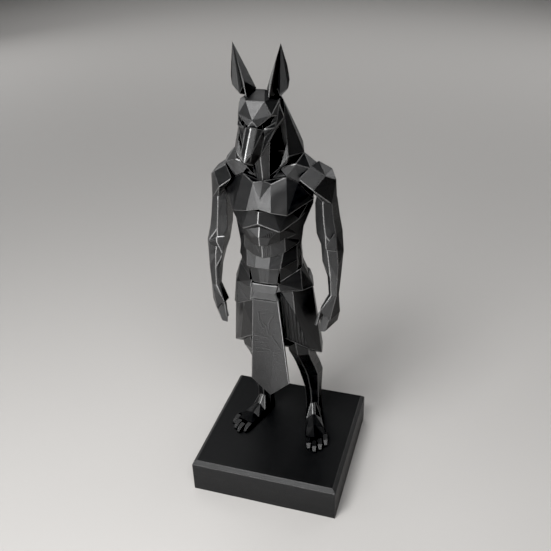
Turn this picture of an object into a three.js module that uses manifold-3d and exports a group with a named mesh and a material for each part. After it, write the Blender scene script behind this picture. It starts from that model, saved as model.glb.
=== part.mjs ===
// A jackal-headed guardian standing on a square plinth, cut in flat facets.
// Millimetres, +Z up, the figure faces -Y, and the origin is under the middle of the plinth.

import * as THREE from 'three';
import { ConvexGeometry } from 'three/addons/geometries/ConvexGeometry.js';
import { mergeVertices } from 'three/addons/utils/BufferGeometryUtils.js';
import Module from 'manifold-3d';

const wasm = await Module();
wasm.setup();

// Driving sizes
const figureHeight = 230;
const plinthWidth = 84;
const plinthDepth = 84;
const plinthHeight = 21;
const plinthBevel = 2.1;
const apronThickness = 1.9;
const leftFootTurn = THREE.MathUtils.degToRad(17.5);
const rightFootTurn = THREE.MathUtils.degToRad(21);

// The figure is laid out in hundredths of its own height: x to its left, y to its back,
// z up from its soles.
const share = figureHeight / 100;
const shoulderTilt = 0.6;
const place = ([x, y, z]) => new THREE.Vector3(x, y, z).multiplyScalar(share);
const mirror = ([x, y, z]) => [-x, y, z];

// Solids and how they are joined

function solidOf(geometry) {
  geometry.deleteAttribute('normal');
  geometry.deleteAttribute('uv');
  const merged = mergeVertices(geometry, 1e-4);
  const vertProperties = new Float32Array(merged.attributes.position.array);
  const triVerts = new Uint32Array(merged.index.array);
  return new wasm.Manifold(new wasm.Mesh({ numProp: 3, vertProperties, triVerts }));
}

const join = (solids) => solids.reduce((whole, next) => whole.add(next));

function geometryOf(solid) {
  const mesh = solid.getMesh();
  const geometry = new THREE.BufferGeometry();
  geometry.setAttribute('position', new THREE.BufferAttribute(mesh.vertProperties, 3));
  geometry.setIndex(new THREE.BufferAttribute(mesh.triVerts, 1));
  return geometry;
}

// One flat-faced block through its corner points.
const block = (points) => solidOf(new ConvexGeometry(points.map(place)));

// A block that spans the middle of the body, from the points of one half.
const across = (points) => block([...points, ...points.map(mirror)]);

// The same block on the left and on the right of the body.
const both = (points) => join([block(points), block(points.map(mirror))]);

// As both, but the left one is carried a little higher than the right one.
const slungLeft = (points) => block(points.map(([x, y, z]) => [x, y, z + shoulderTilt]));
const slungRight = (points) => block(points.map(([x, y, z]) => [-x, y, z - shoulderTilt]));
const slung = (points) => join([slungLeft(points), slungRight(points)]);

// A chain of blocks, one from each section to the next.
function chain(sections, make) {
  return join(sections.slice(1).map((section, i) => make([...sections[i], ...section])));
}

// A level section: a profile in units of half width and half depth about its middle.
function section(profile, [x, y, z], halfWidth, halfDepth) {
  return profile.map(([u, v]) => [x + u * halfWidth, y + v * halfDepth, z]);
}

// An even profile of some number of sides, one corner to the front.
function roundProfile(sides) {
  return Array.from({ length: sides }, (_, i) => {
    const angle = (i * 2 * Math.PI) / sides;
    return [Math.sin(angle), -Math.cos(angle)];
  });
}

// Head

function skull() {
  const forehead = [[0.85, -8.3, 90.85], [0.85, -7.4, 91.1], [1.85, -11.2, 89.9]];
  const brow = [[0, -13.35, 86.7], [3.3, -11.8, 87.5], [0.95, -13.2, 85.5]];
  const temple = [[2.6, -9.3, 90.1], [3.9, -8.6, 89.4], [4.0, -9.1, 86.7]];
  const back = [[1.6, -5, 89.8], [3.2, -5, 89.2], [3.8, -5, 86], [0, -8, 83]];
  return across([...forehead, ...brow, ...temple, ...back]);
}

function muzzle() {
  const bridge = [[0, -14.1, 85.8], [1.1, -13.85, 85.6], [0, -17.6, 82.0], [1.05, -17.3, 81.8]];
  const nose = [[0, -18.6, 80.6], [0.8, -17.5, 80.5], [0.6, -17.2, 79.7], [0.8, -15.8, 79.0]];
  const side = [[1.9, -12.7, 85.0], [2.0, -12.4, 83.5], [1.5, -14.1, 79.9]];
  const root = [[1, -8, 84], [1, -9, 80]];
  return across([...bridge, ...nose, ...side, ...root]);
}

function cheeks() {
  const front = [[1.9, -12.8, 85.1], [2.0, -12.4, 83.5], [3.8, -10.6, 86.0], [3.8, -11.1, 85.0]];
  const root = [[3.2, -7, 86.5], [2, -8, 84], [3.5, -7, 84.5]];
  return both([...front, ...root]);
}

function jaws() {
  const edge = [[4.0, -8.8, 89.0], [4.7, -8.0, 86.2], [3.0, -11.9, 82.7], [1.5, -14.1, 79.9]];
  const under = [[0.6, -13, 79.2], [3.2, -7.5, 83.5], [0.8, -9, 81]];
  const face = [[2.0, -12.6, 83.3], [3.8, -10.7, 84.9], [4.0, -9.3, 86.6], [3.5, -6, 88]];
  return both([...edge, ...under, ...face]);
}

// Each ear is two blocks that meet in a valley, under one tip.
function ears() {
  const tip = [4.6, -9.0, 100];
  const ridge = [[2.2, -9.8, 90.2], [2.6, -9.8, 93.2], [3.5, -9.6, 96.2]];
  const valley = [[3.4, -7.8, 91.5], [3.5, -7.8, 93], [4.15, -8.4, 96.5]];
  const inner = [[1.0, -6.9, 91.1], [2.2, -7.3, 93.8]];
  const outer = [[4.0, -8.0, 90], [5.6, -7.9, 91.7], [5.85, -7.7, 93.3], [5.5, -7.9, 96], [5.05, -8.4, 98.1]];
  const back = [[4.4, -6.0, 92.5], [3.4, -5.6, 89.6]];
  const root = [[2.6, -8.5, 89.6], [2.4, -5.6, 89.2]];
  return join([
    both([tip, ...ridge, ...valley, ...inner, ...root]),
    both([tip, ...valley, [4.0, -8.3, 90.3], inner[1], ...outer, ...back, root[1]]),
  ]);
}

// Hood and neck

function hood() {
  const crown = [[3.4, -6.0, 89.8], [2, -4, 89.6], [0, -3.4, 89.5]];
  const side = [[4.0, -6.2, 89.2], [4.5, -4.0, 85.8], [5.9, -2.7, 82.0], [6.8, -2.4, 79.6]];
  const hem = [7.4, -3.6, 77.8];
  const nape = [[3.0, -1.2, 86], [0, -0.6, 85.6], [4.8, 0.8, 81], [0, 1.6, 81]];
  const napeHem = [[6.2, 0.2, 77.0], [4.0, 2.0, 76.6], [0, 2.8, 76.2]];
  const panel = [[4.3, -6.2, 85.6], [4.9, -7.5, 81], [5.4, -8.2, 78.4]];
  const lappet = [[3.7, -8.7, 76.3], [1.6, -8.9, 74.2], [4.9, -8.2, 76.8]];
  return join([
    across([...crown, ...side, hem, ...nape, ...napeHem]),
    both([...panel, ...side, hem]),
    both([panel[1], panel[2], hem, side[3], lappet[0], lappet[2], [5, -4, 77]]),
    both([...lappet, [5.2, -6, 77.4], [5, -4, 76.2], [2.6, -6.4, 74.4]]),
  ]);
}

function throat() {
  const ridge = [[0, -9.8, 80.5], [0, -9.1, 77], [0, -8.4, 72.8]];
  const front = [[2, -9, 82], [1.3, -8.2, 77], [1.2, -8.0, 72.8]];
  const side = [[2.6, -6.5, 83], [2.6, -6.0, 74], [3, -2, 83], [3, -1, 74]];
  return across([...ridge, ...front, ...side]);
}

// Torso

// Half of the trunk's section, as shares of its half width and of its depth from the front.
const trunkProfile = [[0, 0], [0.61, 0.11], [1, 0.47], [0.87, 0.84], [0.43, 1], [0, 0.95]];

function trunkSection(z, halfWidth, front, back) {
  return trunkProfile.map(([u, v]) => [u * halfWidth, front + v * (back - front), z]);
}

function trunk() {
  return chain([
    trunkSection(75.4, 6.2, -6.0, 1.7),
    trunkSection(72.4, 9.3, -8.0, 2.2),
    trunkSection(67.0, 9.3, -9.0, 2.0),
    trunkSection(62.0, 7.5, -10.0, 0.6),
    trunkSection(57.2, 6.9, -9.4, 0),
    trunkSection(52.0, 7.0, -9.4, 1.2),
    trunkSection(46.0, 8.9, -9.2, 3.2),
  ], across);
}

function pectorals() {
  const top = [[0, -8.4, 72.8], [1.9, -9.1, 72.6], [4.6, -7.25, 73.65], [6.8, -6.3, 72.35]];
  const notch = [[0, -10.9, 69.8], [0, -12.0, 68.1]];
  const bottom = [[2.6, -12.1, 67.6], [5.71, -11.2, 66.95], [9.0, -5.7, 69.7], [9.8, -4.8, 68.5]];
  const root = [[1, -6, 66.8], [6.5, -5, 66], [9, -3, 67.5], [4, -4, 73.5]];
  return both([...top, ...notch, ...bottom, ...root]);
}

function collars() {
  const top = [[7.4, -3.7, 77.9], [9.9, -2.0, 75.0], [6.3, -6.4, 76.2], [9.1, -4.9, 74.9]];
  const front = [[5.4, -6.7, 74.0], [6.8, -6.25, 72.35], [4.6, -7.2, 73.65], [3, -7, 75.5]];
  const back = [[5, 1.4, 76.2], [8.8, 0.9, 74.0], [8, -1, 72], [10.6, -1.2, 73]];
  return both([...top, ...front, ...back]);
}

function shoulders() {
  const top = [[9.9, -2.0, 75.0], [9.1, -5.0, 74.9], [12.0, -4.8, 73.0], [12.5, -0.6, 73.0]];
  const front = [[7.1, -7.35, 72.9], [10.06, -7.33, 70.67], [11.3, -5.0, 67.4], [13.0, -4.2, 66.8]];
  const outer = [[13.7, -2.2, 71.4], [13.9, -2.0, 66.9]];
  const back = [[9.8, 1.0, 73.4], [12.6, 0.6, 70.8], [12.2, 0.8, 66.8], [9.4, 1.2, 70], [10.5, -0.8, 67.2]];
  return slung([...top, ...front, ...outer, ...back]);
}

function shoulderBlades() {
  const rim = [[1.3, 2.5, 73.0], [5.2, 2.7, 73.8], [8.4, 1.6, 72.8], [8.6, 1.0, 69.5]];
  const tip = [[4.6, 2.9, 66.0], [1.5, 2.5, 67.6]];
  const root = [[3, 0, 74.6], [7, -1, 74.2], [6, -2, 66], [2, 0, 67]];
  return both([...rim, ...tip, ...root]);
}

function ribBand() {
  const top = [[0, -12.0, 67.6], [2.6, -10.35, 67.4], [5.2, -8.4, 67.2], [8.4, -5, 67.2]];
  const bottom = [[0, -12.8, 65.3], [4.1, -10.9, 62.9], [7.2, -7.5, 64.8], [8.2, -4.2, 65.4]];
  const root = [[6.6, -4, 63], [0, -6, 63]];
  return across([...top, ...bottom, ...root]);
}

function upperAbdomen() {
  const diamond = [[0, -11.4, 65.6], [0, -12.6, 62.2], [2.15, -11.4, 61.6], [0, -12.2, 59.9]];
  const side = [[3.9, -10.4, 63.4], [3.7, -9.7, 60.2], [1.4, -11.4, 59.7]];
  const flank = [[6.1, -6.5, 64.2], [6.4, -6.2, 60.6], [7.3, -4.6, 62]];
  const root = [[0, -7, 59.4], [6, -4, 61]];
  return across([...diamond, ...side, ...flank, ...root]);
}

function middleAbdomen() {
  const top = [[0, -10.9, 60.2], [1.8, -10.6, 59.9], [4.4, -8.9, 60.6], [6.2, -5.8, 61]];
  const bottom = [[0, -10.6, 56.2], [2.2, -10.2, 56.6], [4.5, -8.9, 57.3], [6.5, -6.1, 58.2]];
  const root = [[7.0, -4.7, 59], [6.0, -3, 58], [0, -6, 56.2]];
  return across([...top, ...bottom, ...root]);
}

function lowerAbdomen() {
  const top = [[1.6, -10.0, 56.9], [4.1, -8.6, 57.8], [6.2, -5.8, 58.6]];
  const bottom = [[1.5, -11.3, 54.1], [3.7, -10.3, 53.8], [6.5, -6.7, 54.6], [7.0, -4.4, 55.4]];
  const root = [[1.2, -7, 53.8], [6, -3, 55]];
  return across([...top, ...bottom, ...root]);
}

function belly() {
  const top = [[1.4, -10.2, 54.8], [3.6, -9.5, 54.6], [6.4, -6.0, 55.2]];
  const bottom = [[0.9, -10.4, 50.0], [2.9, -9.9, 49.8], [6.4, -6.2, 50.4]];
  const root = [[0, -5, 50], [6.6, -4, 52]];
  return across([...top, ...bottom, ...root]);
}

function hipPlates() {
  const front = [[2.9, -10.0, 50.2], [3.4, -9.9, 48.1], [7.6, -6.8, 47.3], [6.9, -5.7, 52.0]];
  const side = [[7.1, -3.6, 52.2], [9.1, -3.3, 46.8], [7.3, 0.6, 46.6], [6.0, -0.6, 50.8]];
  const root = [[2, -4, 50], [2, -4, 46]];
  return both([...front, ...side, ...root]);
}

// Kilt, knot and apron

// The sash hangs lower on the right hip than on the left one.
function sash() {
  const upper = [[3.2, -9.5, 49], [7.2, -6.4, 49], [8.4, -3.4, 48.6], [7.2, 1.2, 48.4], [3.7, 3.1, 48.4]];
  const left = [[3.4, -9.8, 48.1], [7.7, -6.8, 47.2], [9.3, -3.3, 46.5], [7.8, 1.7, 46], [4, 3.7, 46]];
  const right = [[-3.5, -9.9, 44.8], [-7.9, -6.8, 41.4], [-10, -3, 39.4], [-8.7, 2.4, 41], [-4.2, 4.3, 43.5]];
  const hip = [-7.8, -6.9, 47.4];
  return block([...upper, ...upper.map(mirror), ...left, ...right, hip]);
}

function kilt() {
  const waist = [[3.3, -9.2, 48.0], [5.7, -8.0, 47.6], [9.1, -3.4, 46.4], [7.5, 1.4, 46.4], [3.9, 3.4, 46.4]];
  const fold = [6.0, -7.6, 41.4];
  const hem = [[3.6, -7.3, 34.0], [8.5, -4.3, 29.8], [10.9, -1.8, 27.4], [9.8, 3.4, 26.6]];
  const backHem = [[4.6, 6.0, 27], [0, 6.4, 27.6]];
  return across([...waist, fold, ...hem, ...backHem]);
}

function knot() {
  const top = [[2.9, -9.9, 49.3], [2.9, -8, 49.3]];
  const pinch = [[2.6, -10.4, 47.6], [2.5, -8, 47.5]];
  const bottom = [[3.3, -10.6, 45.9], [3.2, -8, 45.7]];
  return join([across([...top, ...pinch]), across([...pinch, ...bottom])]);
}

// The apron is a flat tongue; behind its upper half it is backed up to the kilt.
function apron() {
  const behind = apronThickness / share;
  const front = [[2.9, -10.0, 46.2], [2.9, -10.0, 45.0], [4.6, -8.9, 22.1], [0, -8.95, 17.8]];
  const back = front.map(([x, y, z]) => [x, y + behind, z]);
  const backing = [[2.6, -9.6, 46], [2.6, -8, 46], [3.0, -9.0, 34.4], [3.0, -7, 34.4]];
  return join([across([...front, ...back]), across(backing)]);
}

// Arms and hands

const upperArmProfile = [[-1, -0.75], [-0.13, -1], [0.68, -0.63], [1, 0.28], [0.33, 1], [-0.88, 0.7]];
const forearmProfile = [[-0.95, -0.6], [-0.4, -1], [0.6, -0.88], [1, -0.05], [0.2, 1], [-0.95, 0.75]];
const elbow = [
  [11.0, -4.3, 57.2], [12.3, -4.9, 57.7], [12.3, -4.9, 56.3], [14.6, -4.5, 56.2],
  [15.7, -2.6, 55.4], [14.4, 0.6, 55.6], [11.2, 0.2, 55],
];
const forearmTop = [
  [11.4, -4.6, 53.2], [12.95, -5.1, 53.3], [14.9, -4.4, 52.4],
  [15.5, -2.7, 52.6], [14.0, -0.4, 52.6], [11.9, -0.9, 52.6],
];
const wrist = section(forearmProfile, [13.95, -3.7, 44.9], 1.15, 1.1);

function upperArms() {
  return chain([
    section(upperArmProfile, [11.7, -2.0, 69.5], 1.5, 2.2),
    section(upperArmProfile, [11.8, -2.05, 66.5], 2.1, 2.85),
    section(upperArmProfile, [12.1, -1.95, 62.7], 2.3, 3.15),
    section(upperArmProfile, [12.5, -1.9, 59.6], 2.5, 3.1),
    elbow,
  ], slung);
}

function forearms() {
  return chain([
    elbow,
    forearmTop,
    section(forearmProfile, [13.9, -3.25, 49.5], 1.5, 1.65),
    wrist,
  ], slung);
}

// The crook of the elbow is a narrow band, with a triangle above it on the left arm and
// one inside and below it on the right arm.
function elbowPlates() {
  const band = [[12.45, -5.1, 57.6], [12.4, -5.2, 56.3], [14.7, -4.8, 56.0]];
  const above = [[14.05, -4.6, 60.4], [14.6, -4.8, 57.5]];
  const below = [[10.6, -4.6, 57.8], [11.3, -4.9, 53.2]];
  const root = [[13, -3, 57.5], [12.8, -3, 55]];
  return join([slungLeft([...band, ...above, ...root]), slungRight([...band, ...below, ...root])]);
}

function hands() {
  const knuckles = [[11.3, -6.0, 41.2], [13.4, -5.6, 38.6], [15.3, -3.2, 40]];
  const heel = [[13.0, -1.6, 40], [11.0, -3.6, 41]];
  const fist = [[11.2, -5.0, 40.6], [13.4, -5.6, 39.4], [15.3, -3.2, 40.2], [12.8, -1.8, 40.4]];
  const fingers = [[11.0, -5.6, 35.4], [12.4, -5.6, 35.6], [14.8, -3.0, 37.6], [12.2, -2.4, 36.2]];
  const thumb = [[11.4, -6.2, 41.6], [11.0, -5.8, 41.0], [12.0, -5.4, 40.8]];
  const thumbTip = [[10.1, -6.6, 38.0], [10.7, -7.0, 37.8], [10.9, -5.8, 37.8]];
  return join([
    slung([...wrist, ...knuckles, ...heel]),
    slung([...fist, ...fingers]),
    slung([...thumb, ...thumbTip]),
  ]);
}

// Legs and paws

function legs() {
  const profile = roundProfile(7);
  return chain([
    section(profile, [5.4, -2.4, 34], 3.6, 4.0),
    section(profile, [5.65, -1.0, 27.5], 3.2, 3.6),
    section(profile, [5.7, 1.3, 23.8], 3.0, 3.2),
    section(profile, [5.8, 3.8, 20.2], 3.1, 3.3),
    section(profile, [6.2, 5.4, 16.5], 3.1, 3.2),
    section(profile, [6.5, 6.5, 10.5], 2.3, 2.4),
    section(profile, [6.6, 7.0, 5.5], 2.1, 2.3),
    section(profile, [6.7, 7.2, 0], 2.2, 2.6),
  ], both);
}

// A section across the foot: its sole, the edge above it, and the ridge of the instep.
function footSection(along, inner, outer, edgeHeight, ridgeHeight) {
  return [
    [-inner, along, 0], [outer, along, 0],
    [-0.9 * inner, along, edgeHeight], [0.9 * outer, along, edgeHeight],
    [-0.35, along, ridgeHeight], [0.35, along, ridgeHeight - 0.1],
  ];
}

function toe(reach, out) {
  return [-1, 1].flatMap((side) => [
    [out + 0.5 * side, reach - 4, 0.1],
    [out + 0.5 * side, reach - 4, 1.1],
    [out + 0.7 * side, reach - 2.8, 0],
    [out + 0.6 * side, reach - 2.5, 1.7],
    [out + 0.55 * side, reach - 0.9, 1.4],
    [out + 0.35 * side, reach, 0.5],
    [out + 0.4 * side, reach - 0.1, 0],
  ]);
}

// A paw is laid out straight, as out to its side, along from the ankle, and up; then it is
// turned outward and set under its leg. The left paw is stretched a little further forward.
function paw(side, turn, stretch) {
  const ankle = place([side * 6.6, 6.4, 0]);
  const make = (points) => block(points.map(([out, along, z]) => [side * out, -stretch * along, z]));
  const instep = chain([
    footSection(0.9, 2.1, 2.1, 3.4, 6.3),
    footSection(3.2, 2.2, 2.2, 1.7, 3.2),
    footSection(6.2, 2.4, 2.6, 1.3, 2.0),
    footSection(9.9, 2.6, 3.2, 1.3, 1.9),
  ], make);
  const toes = [[12.4, -1.9], [13.5, -0.55], [12.9, 0.95], [11.5, 2.45]];
  const straight = join([instep, ...toes.map(([reach, out]) => make(toe(reach, out)))]);
  const set = new THREE.Matrix4().makeRotationZ(side * turn).setPosition(ankle);
  return solidOf(geometryOf(straight).applyMatrix4(set));
}

function figureSolid() {
  return join([
    skull(), muzzle(), cheeks(), jaws(), ears(), hood(), throat(),
    trunk(), pectorals(), collars(), shoulders(), shoulderBlades(),
    ribBand(), upperAbdomen(), middleAbdomen(), lowerAbdomen(), belly(), hipPlates(),
    sash(), kilt(), knot(), apron(),
    upperArms(), forearms(), elbowPlates(), hands(),
    legs(), paw(1, leftFootTurn, 1.045), paw(-1, rightFootTurn, 0.92),
  ]);
}

// Plinth

function plinthGeometry() {
  const corners = (inset, z) => [[1, 1], [1, -1], [-1, 1], [-1, -1]].map(([right, back]) => (
    new THREE.Vector3(right * (plinthWidth / 2 - inset), back * (plinthDepth / 2 - inset), z)
  ));
  return new ConvexGeometry([
    ...corners(0, 0),
    ...corners(0, plinthHeight - plinthBevel),
    ...corners(plinthBevel, plinthHeight),
  ]);
}

const statue = new THREE.Group();

const figure = new THREE.Mesh(
  geometryOf(figureSolid()),
  new THREE.MeshStandardMaterial({ color: 0x1c1d20, roughness: 0.48, metalness: 0 }),
);
figure.name = 'figure';
figure.position.z = plinthHeight;
statue.add(figure);

const plinth = new THREE.Mesh(
  plinthGeometry(),
  new THREE.MeshStandardMaterial({ color: 0x131417, roughness: 0.55, metalness: 0 }),
);
plinth.name = 'plinth';
statue.add(plinth);

export default statue;
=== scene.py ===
import math

import bmesh
import bpy
from mathutils import Euler, Matrix, Vector, noise
from mathutils.bvhtree import BVHTree


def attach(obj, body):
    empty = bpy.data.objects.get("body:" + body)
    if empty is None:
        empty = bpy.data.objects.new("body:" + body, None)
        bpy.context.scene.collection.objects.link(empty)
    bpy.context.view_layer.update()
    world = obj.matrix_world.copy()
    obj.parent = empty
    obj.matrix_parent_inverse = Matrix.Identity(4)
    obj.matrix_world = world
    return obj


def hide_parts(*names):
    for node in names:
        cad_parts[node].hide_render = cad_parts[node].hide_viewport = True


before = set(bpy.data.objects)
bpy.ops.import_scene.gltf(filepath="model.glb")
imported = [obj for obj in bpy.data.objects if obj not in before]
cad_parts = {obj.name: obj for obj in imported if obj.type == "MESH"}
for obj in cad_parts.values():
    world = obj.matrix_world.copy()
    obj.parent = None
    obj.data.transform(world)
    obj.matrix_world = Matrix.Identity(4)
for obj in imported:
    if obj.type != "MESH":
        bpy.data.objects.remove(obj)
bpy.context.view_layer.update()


# The plinth
# A low square block of black plastic, printed layer on layer, with a narrow chamfer round
# its top. The layers aren't quite even, so its sides have level streaks. The figure stands
# on it.

PLINTH_DARK = (0.0022, 0.0023, 0.0025)
PLINTH_LIGHT = (0.0045, 0.0046, 0.0048)
# The next colour is the light end of a painted highlight on the plinth's softened edges; its dark end is the
# plinth's light tone
PLINTH_HIGHLIGHT = (0.010, 0.010, 0.010)
PLINTH_EDGE = 0.0003
EDGE_STEPS = 2
LAYER_HEIGHT = 0.0002
LAYER_RELIEF = 0.00005
LAYER_GROUP = 0.0006
STREAK_LENGTH = 0.007
STREAK_DEPTH = 0.00007
STREAKS_ACROSS = 45
STREAKS_UP = 1450
STREAK_CONTRAST = 0.9


class Field:
    """One socket of a node tree. A sum or a product of fields adds its Math node."""

    def __init__(self, tree, socket=None):
        self.tree = tree
        self.socket = socket

    def node(self, kind, settings, inputs, output=0):
        """Adds any other node: its type, its settings, then the values or links of its sockets."""
        node = self.tree.nodes.new(kind)
        for name, value in settings.items():
            setattr(node, name, value)
        for name, value in inputs.items():
            if isinstance(value, Field):
                self.tree.links.new(value.socket, node.inputs[name])
            else:
                node.inputs[name].default_value = value
        return Field(self.tree, node.outputs[output])

    def math(self, operation, first, second=0.0):
        return self.node("ShaderNodeMath", {"operation": operation}, {0: first, 1: second})

    def __add__(self, other):
        return self.math("ADD", self, other)

    def __radd__(self, other):
        return self.math("ADD", other, self)

    def __sub__(self, other):
        return self.math("SUBTRACT", self, other)

    def __rsub__(self, other):
        return self.math("SUBTRACT", other, self)

    def __mul__(self, other):
        return self.math("MULTIPLY", self, other)

    def __rmul__(self, other):
        return self.math("MULTIPLY", other, self)


def printed_plastic(name, dark, light, roughness, ior=1.4):
    """Black printed plastic: level layer lines, uneven bands of gloss, and a little dust."""
    material = bpy.data.materials.new(name)
    material.use_nodes = True
    tree = material.node_tree
    shader = tree.nodes["Principled BSDF"]
    start = Field(tree)
    place = start.node("ShaderNodeTexCoord", {}, {}, "Object")
    height = start.node("ShaderNodeSeparateXYZ", {}, {0: place}, "Z")

    # The lines wander by half a turn or so, as no two layers lie quite alike
    wander = start.node("ShaderNodeTexNoise", {}, {"Vector": place, "Scale": 60.0, "Detail": 2.0})
    layers = height * (2 * math.pi / LAYER_HEIGHT) + wander * 3.0
    ripple = start.math("SINE", layers)
    bands = start.node("ShaderNodeTexNoise", {"noise_dimensions": "1D"},
                       {"W": height, "Scale": 900.0, "Detail": 3.0, "Roughness": 0.6})
    mottle = start.node("ShaderNodeTexNoise", {}, {"Vector": place, "Scale": 240.0, "Detail": 4.0})
    dust = start.node("ShaderNodeTexNoise", {}, {"Vector": place, "Scale": 1500.0, "Detail": 2.0})

    # How much the bands, the mottle and the dust each add to the colour, the gloss and the relief
    paleness = bands * 0.5 + mottle * 0.2 + dust * 0.3
    colour = start.node("ShaderNodeMix", {"data_type": "RGBA"},
                        {"Factor": paleness, "A": (*dark, 1), "B": (*light, 1)}, 2)
    gloss = roughness + (bands - 0.5) * 0.16 + (mottle - 0.5) * 0.14 + (dust - 0.5) * 0.12
    relief = ripple * 0.3 + bands * 1.2 + mottle * 0.5 + dust
    normal = start.node("ShaderNodeBump", {}, {"Strength": 0.4, "Distance": LAYER_RELIEF, "Height": relief})
    tree.links.new(colour.socket, shader.inputs["Base Color"])
    tree.links.new(gloss.socket, shader.inputs["Roughness"])
    tree.links.new(normal.socket, shader.inputs["Normal"])
    shader.inputs["IOR"].default_value = ior
    return material


def welded(node):
    """A CAD node's mesh in whole facets, with the layers that later cuts write to."""
    mesh = bmesh.new()
    mesh.from_mesh(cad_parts[node].data)
    weld_reach = 2e-5
    flat_angle = math.radians(1)
    bmesh.ops.remove_doubles(mesh, verts=mesh.verts, dist=weld_reach)
    bmesh.ops.dissolve_limit(mesh, angle_limit=flat_angle, verts=mesh.verts, edges=mesh.edges)
    mesh.faces.layers.int.new("region")
    mesh.faces.layers.int.new("highlit_edge")
    mesh.verts.layers.float.new("wave")
    mesh.verts.layers.float_vector.new("depth")
    return mesh


def soften(mesh, edges, width, steps):
    """Takes the sharpness off some edges, and marks the narrow faces there for a painted highlight."""
    narrow = bmesh.ops.bevel(mesh, geom=edges, offset=width, offset_type="OFFSET", segments=steps,
                             profile=0.5, affect="EDGES", clamp_overlap=False)["faces"]
    for face in narrow:
        face[mesh.faces.layers.int["highlit_edge"]] = 1


def region_faces(mesh, number):
    return [face for face in mesh.faces if face[mesh.faces.layers.int["region"]] == number]


def region_points(mesh, number):
    return {point for face in region_faces(mesh, number) for point in face.verts}


def cut(mesh, number, across, step):
    """Cuts the faces of a region by parallel planes, a step apart."""
    merge_reach = 1e-6
    reach = [point.co.dot(across) / step for point in region_points(mesh, number)]
    for count in range(math.ceil(min(reach)), math.floor(max(reach)) + 1):
        faces = region_faces(mesh, number)
        edges = {edge for face in faces for edge in face.edges}
        points = {point for face in faces for point in face.verts}
        bmesh.ops.bisect_plane(mesh, geom=[*faces, *edges, *points], dist=merge_reach,
                               plane_co=across * (count * step), plane_no=across)


def wave_tree():
    """Moves each point by its depth, as far as its wave has gone from a crest to a hollow."""
    tree = bpy.data.node_groups.new("waves", "GeometryNodeTree")
    inputs = {"Geometry": "Geometry", "Strength": "Float", "Plastic": "Material", "Highlight plastic": "Material"}
    for name, kind in inputs.items():
        tree.interface.new_socket(name, in_out="INPUT", socket_type="NodeSocket" + kind)
    tree.interface.new_socket("Geometry", in_out="OUTPUT", socket_type="NodeSocketGeometry")
    given = tree.nodes.new("NodeGroupInput")
    start = Field(tree)
    shape, strength, plastic, highlight_plastic = (Field(tree, given.outputs[name]) for name in inputs)

    def read(name, kind):
        return start.node("GeometryNodeInputNamedAttribute", {"data_type": kind}, {"Name": name})

    share = start.math("PINGPONG", read("wave", "FLOAT"), 1.0) * strength
    offset = start.node("ShaderNodeVectorMath", {"operation": "SCALE"},
                        {"Vector": read("depth", "FLOAT_VECTOR"), "Scale": share})
    moved = start.node("GeometryNodeSetPosition", {}, {"Geometry": shape, "Offset": offset})
    real = start.node("GeometryNodeRealizeInstances", {}, {"Geometry": moved})
    painted = start.node("GeometryNodeSetMaterial", {}, {"Geometry": real, "Material": plastic})
    # The marked narrow faces at the softened edges get the plastic with the painted highlight
    highlighted = start.node("GeometryNodeSetMaterial", {},
                        {"Geometry": painted, "Selection": read("highlit_edge", "INT"), "Material": highlight_plastic})
    tree.links.new(highlighted.socket, tree.nodes.new("NodeGroupOutput").inputs["Geometry"])
    return tree


WAVES = wave_tree()


def finished(mesh, name, plastic, highlight_plastic, node):
    """Makes the mesh a piece of the object on the root body, in the place of a CAD node, which it hides."""
    data = bpy.data.meshes.new(name)
    mesh.to_mesh(data)
    mesh.free()
    piece = bpy.data.objects.new(name, data)
    bpy.context.scene.collection.objects.link(piece)
    waves = piece.modifiers.new("waves", "NODES")
    waves.node_group = WAVES
    given = {"Strength": 1.0, "Plastic": plastic, "Highlight plastic": highlight_plastic}
    for socket in WAVES.interface.items_tree:
        if socket.in_out == "INPUT" and socket.name in given:
            waves[socket.identifier] = given[socket.name]
    now = bpy.context.evaluated_depsgraph_get()
    shaped = bpy.data.meshes.new_from_object(piece.evaluated_get(now), depsgraph=now)
    piece.modifiers.clear()
    piece.data = shaped
    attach(piece, "root")
    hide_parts(node)


def is_side(face):
    """Whether a face is a side of the plinth or of its chamfer, neither level nor a narrow edge."""
    too_level = 0.8
    too_small = 1e-5
    return abs(face.normal.z) < too_level and face.calc_area() > too_small


plinth_mesh = welded("plinth")
soften(plinth_mesh, list(plinth_mesh.edges), PLINTH_EDGE, EDGE_STEPS)
SIDES = 1
for face in plinth_mesh.faces:
    if is_side(face):
        face[plinth_mesh.faces.layers.int["region"]] = SIDES
for across, step in ((Vector((0, 0, 1)), LAYER_GROUP), (Vector((1, 0, 0)), STREAK_LENGTH),
                     (Vector((0, 1, 0)), STREAK_LENGTH)):
    cut(plinth_mesh, SIDES, across, step)
plinth_mesh.normal_update()
for point in region_points(plinth_mesh, SIDES):
    x, y, z = point.co
    streak = noise.noise(Vector((x * STREAKS_ACROSS, y * STREAKS_ACROSS, z * STREAKS_UP)))
    point[plinth_mesh.verts.layers.float["wave"]] = min(1.0, max(0.0, 0.5 + STREAK_CONTRAST * streak))
    level = Vector((point.normal.x, point.normal.y, 0)).normalized()
    point[plinth_mesh.verts.layers.float_vector["depth"]] = -STREAK_DEPTH * level
# The plinth's softened edges get a second plastic, coloured lighter as a painted highlight
finished(plinth_mesh, "printed_plinth",
         printed_plastic("plinth plastic", PLINTH_DARK, PLINTH_LIGHT, 0.5, ior=1.35),
         printed_plastic("plinth edge with painted highlight", PLINTH_LIGHT, PLINTH_HIGHLIGHT, 0.45), "plinth")


# The figure
# A jackal-headed guardian in flat facets, printed in one piece in black plastic and left as
# it comes off the printer: crisp ridges, pleats pressed in the kilt, a creased apron.

FIGURE_DARK = (0.0012, 0.0013, 0.0015)
FIGURE_LIGHT = (0.003, 0.003, 0.0032)
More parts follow.
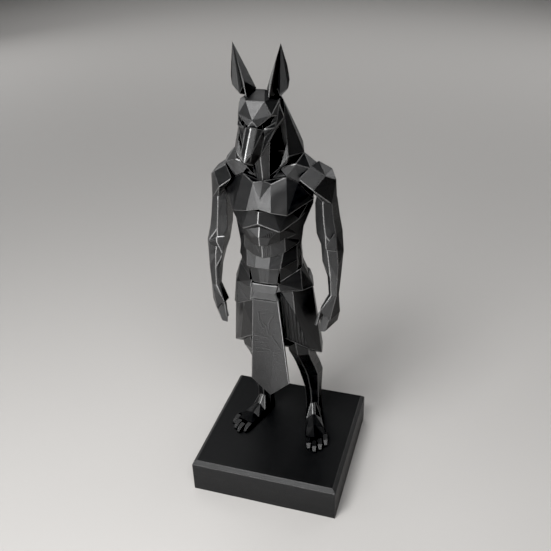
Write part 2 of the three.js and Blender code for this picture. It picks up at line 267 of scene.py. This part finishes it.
# The softened ridges are coloured far lighter than the plastic, with a higher IOR: a painted highlight along
# them
RIDGE_HIGHLIGHT_DARK = (0.012, 0.012, 0.012)
RIDGE_HIGHLIGHT_LIGHT = (0.04, 0.04, 0.04)
RIDGE_WIDTH = 0.00030
RIDGE_ANGLE = math.radians(21)
MIDLINE_ANGLE = math.radians(5)
MIDLINE_WIDTH = 0.0002
SHORTEST_RIDGE = 0.0012
TOE_HEIGHT = 0.0295
EAR_TIP_HEIGHT = 0.247


def is_ridge(edge):
    """Whether an edge stands out enough to soften and paint with a highlight. Along the figure's midline a
    blunt one does.
    """
    midline = max(abs(point.co.x) for point in edge.verts) < MIDLINE_WIDTH
    least_angle = MIDLINE_ANGLE if midline else RIDGE_ANGLE
    height = max(point.co.z for point in edge.verts)
    return (edge.calc_face_angle_signed(0) > least_angle and edge.calc_length() > SHORTEST_RIDGE
            and TOE_HEIGHT < height < EAR_TIP_HEIGHT)


def settle(mesh, solid, reach):
    """Lays the points that a bevel threw clear of the solid back on its surface."""
    for point in mesh.verts:
        nearest, _, _, away = solid.find_nearest(point.co)
        if away > reach:
            point.co = nearest


figure_mesh = welded("figure")
figure_solid = BVHTree.FromBMesh(figure_mesh)
soften(figure_mesh, [edge for edge in figure_mesh.edges if is_ridge(edge)], RIDGE_WIDTH, 1)
settle(figure_mesh, figure_solid, RIDGE_WIDTH)

# The pressed ribs of each place: points on its facets, their lean in degrees from upright,
# how far apart the ribs are and how deep
RIB_MARGIN = 0.0003
RIBBED = {
    "pleats": ([(0.0110, -0.0173, 0.1085), (0.0132, -0.0142, 0.0973)], 4, 0.00165, 0.00042),
    "diamond": ([(0.0027, -0.0274, 0.1644)], 0, 0.0010, 0.00014),
    "ribs left": ([(0.0010, -0.0246, 0.1547), (0.0028, -0.0241, 0.1536)], 0, 0.0010, 0.00014),
    "ribs right": ([(-0.0016, -0.0244, 0.1542)], 0, 0.0010, 0.00014),
    "belly": ([(0.0022, -0.0237, 0.1404)], 0, 0.0022, 0.00014),
    "sash right": ([(-0.0118, -0.0202, 0.1245)], 72, 0.0016, 0.00018),
}
FIRST_RIBBED = 2


def region(mesh, number, places, margin):
    """Marks the facets nearest to some places, but for a margin round them. Returns their facing."""
    tree = BVHTree.FromBMesh(mesh)
    mesh.faces.ensure_lookup_table()
    faces = list({mesh.faces[tree.find_nearest(Vector(place))[2]] for place in places})
    layer = mesh.faces.layers.int["region"]
    rim = bmesh.ops.inset_region(mesh, faces=faces, thickness=margin, use_even_offset=True,
                                 use_boundary=True)["faces"]
    for face in faces:
        face[layer] = number
    for face in rim:
        face[layer] = 0
    area = sum(face.calc_area() for face in faces)
    facing = sum((face.normal * face.calc_area() for face in faces), Vector()) / area
    return facing.normalized()


def ribs(mesh, number, places, lean, pitch, depth):
    """Presses V-shaped ribs in the facets at some places. They lean by an angle from upright."""
    facing = region(mesh, number, places, RIB_MARGIN)
    level = Vector((0, 0, 1)).cross(facing).normalized()
    across = Matrix.Rotation(lean, 3, facing) @ level
    cut(mesh, number, across, pitch / 2)
    for point in region_points(mesh, number):
        point[mesh.verts.layers.float["wave"]] = point.co.dot(across) / (pitch / 2)
        point[mesh.verts.layers.float_vector["depth"]] = -depth * facing


for number, (places, lean, pitch, depth) in enumerate(RIBBED.values(), FIRST_RIBBED):
    ribs(figure_mesh, number, places, math.radians(lean), pitch, depth)

CLOTH_GRID = 0.00028
CLOTH_MARGIN = 0.0004
CLOTH_ROUGHNESS = 0.00011
THREADS_ACROSS = 620
THREADS_UP = 1500
THREAD_SHARE = 0.35
FUZZ = 3400
FUZZ_SEED = 7
FUZZ_SHARE = 0.45
CREASE_WIDTH = 0.00030
CREASE_DEPTH = 0.00019
KNOT = 20
KNOT_PLACES = [(0, -0.0234, 0.1325), (0, -0.0241, 0.1285)]
APRON = 21
APRON_PLACES = [(-0.0004, -0.0232, 0.1252), (-0.0004, -0.0225, 0.1070),
                (-0.0060, -0.0216, 0.0858), (0.0058, -0.0216, 0.0861)]

# Each crease: its share of the full depth, and its line in millimetres, across and up. The
# last one is the groove under the knot.
CREASES = [
    (1.0, [(-4.0, 117.5), (-4.0, 113.3), (-2.1, 107.9)]),
    (0.9, [(-2.4, 112.3), (-0.4, 109.5), (0.6, 103.8)]),
    (0.8, [(3.6, 115.9), (1.3, 111.1), (0.9, 107.8)]),
    (0.3, [(-3.2, 117.0), (0.1, 118.4)]),
    (0.8, [(2.4, 103.5), (6.6, 96.0)]),
    (0.5, [(-8.2, 102.2), (-4.6, 102.5), (0.3, 101.8)]),
    (0.4, [(-8.3, 99.8), (-3.7, 99.4)]),
    (0.5, [(-8.4, 98.1), (-2.1, 98.7)]),
    (0.4, [(-6.7, 94.4), (-1.7, 94.7), (1.6, 94.0)]),
    (0.35, [(-8.0, 91.4), (7.0, 93.8)]),
    (2.6, [(-9.0, 125.5), (9.0, 125.4)]),
]


def crease_at(place):
    """How far a crease in the apron reaches in at a place, as a share of its depth."""
    deepest = 0.0
    for share, line in CREASES:
        for start, end in zip(line, line[1:]):
            first, last = (Vector(corner) / 1000 for corner in (start, end))
            along = last - first
            part = max(0.0, min(1.0, (place - first).dot(along) / along.length_squared))
            away = (place - first - part * along).length
            deepest = max(deepest, share * math.exp(-(away / CREASE_WIDTH) ** 2))
    return deepest


def weave_at(x, z):
    """How far the coarse cloth reaches in at a place: long threads, and a finer fuzz on them."""
    threads = noise.noise(Vector((x * THREADS_ACROSS, 0, z * THREADS_UP)))
    fuzz = noise.noise(Vector((x * FUZZ, FUZZ_SEED, z * FUZZ)))
    return 0.5 + THREAD_SHARE * threads + FUZZ_SHARE * fuzz


def cloth(mesh, number, places):
    """Roughens the facets at some places like coarse cloth, and presses the creases in them."""
    facing = region(mesh, number, places, CLOTH_MARGIN)
    for across in (Vector((1, 0, 0)), Vector((0, 0, 1))):
        cut(mesh, number, across, CLOTH_GRID)
    for point in region_points(mesh, number):
        x, _, z = point.co
        dent = crease_at(Vector((x, z))) * CREASE_DEPTH + weave_at(x, z) * CLOTH_ROUGHNESS
        point[mesh.verts.layers.float["wave"]] = 1.0
        point[mesh.verts.layers.float_vector["depth"]] = -dent * facing


cloth(figure_mesh, KNOT, KNOT_PLACES)
cloth(figure_mesh, APRON, APRON_PLACES)

# The softened ridges get a second plastic, coloured lighter as a painted highlight
finished(figure_mesh, "jackal_guardian",
         printed_plastic("figure plastic", FIGURE_DARK, FIGURE_LIGHT, 0.35),
         printed_plastic("figure ridge with painted highlight", RIDGE_HIGHLIGHT_DARK, RIDGE_HIGHLIGHT_LIGHT, 0.3, ior=1.8), "figure")


# The studio
# A plain pale floor and a set of soft lights round the figure, most of them in front of it.
# The camera looks down on it from the photograph's place.

FOCAL_LENGTH = 46.08
SENSOR_WIDTH = 36.0
NEAREST_SEEN = 0.01
CAMERA_PLACE = (0.09706, -0.30541, 0.31634)
CAMERA_AZIMUTH = math.radians(17.9)
CAMERA_ELEVATION = math.radians(30.6)
CAMERA_ROLL = math.radians(-1.85)

camera_data = bpy.data.cameras.new("camera")
camera_data.sensor_fit = "HORIZONTAL"
camera_data.sensor_width = SENSOR_WIDTH
camera_data.lens = FOCAL_LENGTH
camera_data.clip_start = NEAREST_SEEN
camera = bpy.data.objects.new("camera", camera_data)
bpy.context.scene.collection.objects.link(camera)
level = Euler((math.pi / 2 - CAMERA_ELEVATION, 0, CAMERA_AZIMUTH), "XYZ").to_matrix()
camera.matrix_world = (Matrix.Translation(CAMERA_PLACE)
                       @ (level @ Matrix.Rotation(CAMERA_ROLL, 3, "Z")).to_4x4())
bpy.context.scene.camera = camera


def matt_paint(name, colour, roughness):
    material = bpy.data.materials.new(name)
    material.use_nodes = True
    shader = material.node_tree.nodes["Principled BSDF"]
    shader.inputs["Base Color"].default_value = (*colour, 1)
    shader.inputs["Roughness"].default_value = roughness
    return material


FLOOR_REACH = 12
FLOOR_COLOUR = (0.35, 0.34, 0.33)
FLOOR_ROUGHNESS = 0.7
floor_mesh = bmesh.new()
bmesh.ops.create_grid(floor_mesh, x_segments=1, y_segments=1, size=FLOOR_REACH)
floor_data = bpy.data.meshes.new("floor")
floor_mesh.to_mesh(floor_data)
floor_mesh.free()
floor = bpy.data.objects.new("floor", floor_data)
floor_data.materials.append(matt_paint("floor", FLOOR_COLOUR, FLOOR_ROUGHNESS))
bpy.context.scene.collection.objects.link(floor)


def softbox(name, azimuth, elevation, distance, size, power, aim=(0, 0, 0.15), spread=180):
    """An oblong light that looks at its aim from azimuth degrees right of the figure's front."""
    light = bpy.data.lights.new(name, "AREA")
    light.shape = "RECTANGLE"
    light.size, light.size_y = size
    light.energy = power
    light.spread = math.radians(spread)
    lamp = bpy.data.objects.new(name, light)
    turn, rise = math.radians(azimuth), math.radians(elevation)
    away = Vector((math.sin(turn) * math.cos(rise), -math.cos(turn) * math.cos(rise), math.sin(rise)))
    lamp.location = Vector(aim) + away * distance
    lamp.rotation_euler = away.to_track_quat("Z", "Y").to_euler()
    lamp.visible_camera = False
    bpy.context.scene.collection.objects.link(lamp)


NEAR = 0.6
PANEL = (0.26, 0.19)
LOW_PANEL = (0.26, 0.15)
softbox("front light", -16, 50, NEAR, PANEL, 5.0)
softbox("breast light", -18, 16, NEAR, PANEL, 0.75, spread=100)
softbox("low front light", -16, -6, NEAR, LOW_PANEL, 0.5, spread=100)
softbox("high right light", 30, 48, NEAR, PANEL, 1.7)
softbox("right light", 34, -4, NEAR, LOW_PANEL, 0.24, spread=100)
softbox("left light", -60, 30, NEAR, PANEL, 0.3)
softbox("low left light", -60, -6, NEAR, LOW_PANEL, 0.45, spread=100)
softbox("side light", 120, 30, NEAR, PANEL, 0.3)
softbox("rear right fill", 145, 14, 1.3, (0.8, 0.5), 3.5)
softbox("rear left fill", -122, 12, 1.3, (0.8, 0.5), 2.5)
softbox("back light", -144, 63, 1.6, (0.9, 0.9), 6)

# Small cards near the floor, for the facets that look down
APRON_MIDDLE = (0, -0.02, 0.11)
PLEATS = (0.010, -0.016, 0.1)
softbox("left floor card", -22, -28, 0.21, (0.1, 0.08), 0.054, APRON_MIDDLE, 100)
softbox("right floor card", 38, -28, 0.21, (0.1, 0.08), 0.027, APRON_MIDDLE, 100)
softbox("kilt card", 10, -42, 0.13, (0.07, 0.03), 0.02, PLEATS, 90)

# A light straight down on the floor behind, clear of the figure
FAR_FLOOR = (-0.35, 1.2, 0)
softbox("floor light", 0, 90, 0.9, (1.6, 1.0), 3.5, FAR_FLOOR, 90)

SKY_COLOUR = (0.9, 0.95, 1.0)
SKY_STRENGTH = 0.025
world = bpy.data.worlds.new("studio")
world.use_nodes = True
world.node_tree.nodes["Background"].inputs["Color"].default_value = (*SKY_COLOUR, 1)
world.node_tree.nodes["Background"].inputs["Strength"].default_value = SKY_STRENGTH
bpy.context.scene.world = world

BLACK_LEVEL = 0.010
view = bpy.context.scene.view_settings
view.view_transform = "Standard"
view.use_curve_mapping = True
view.curve_mapping.black_level = (BLACK_LEVEL, BLACK_LEVEL, BLACK_LEVEL)
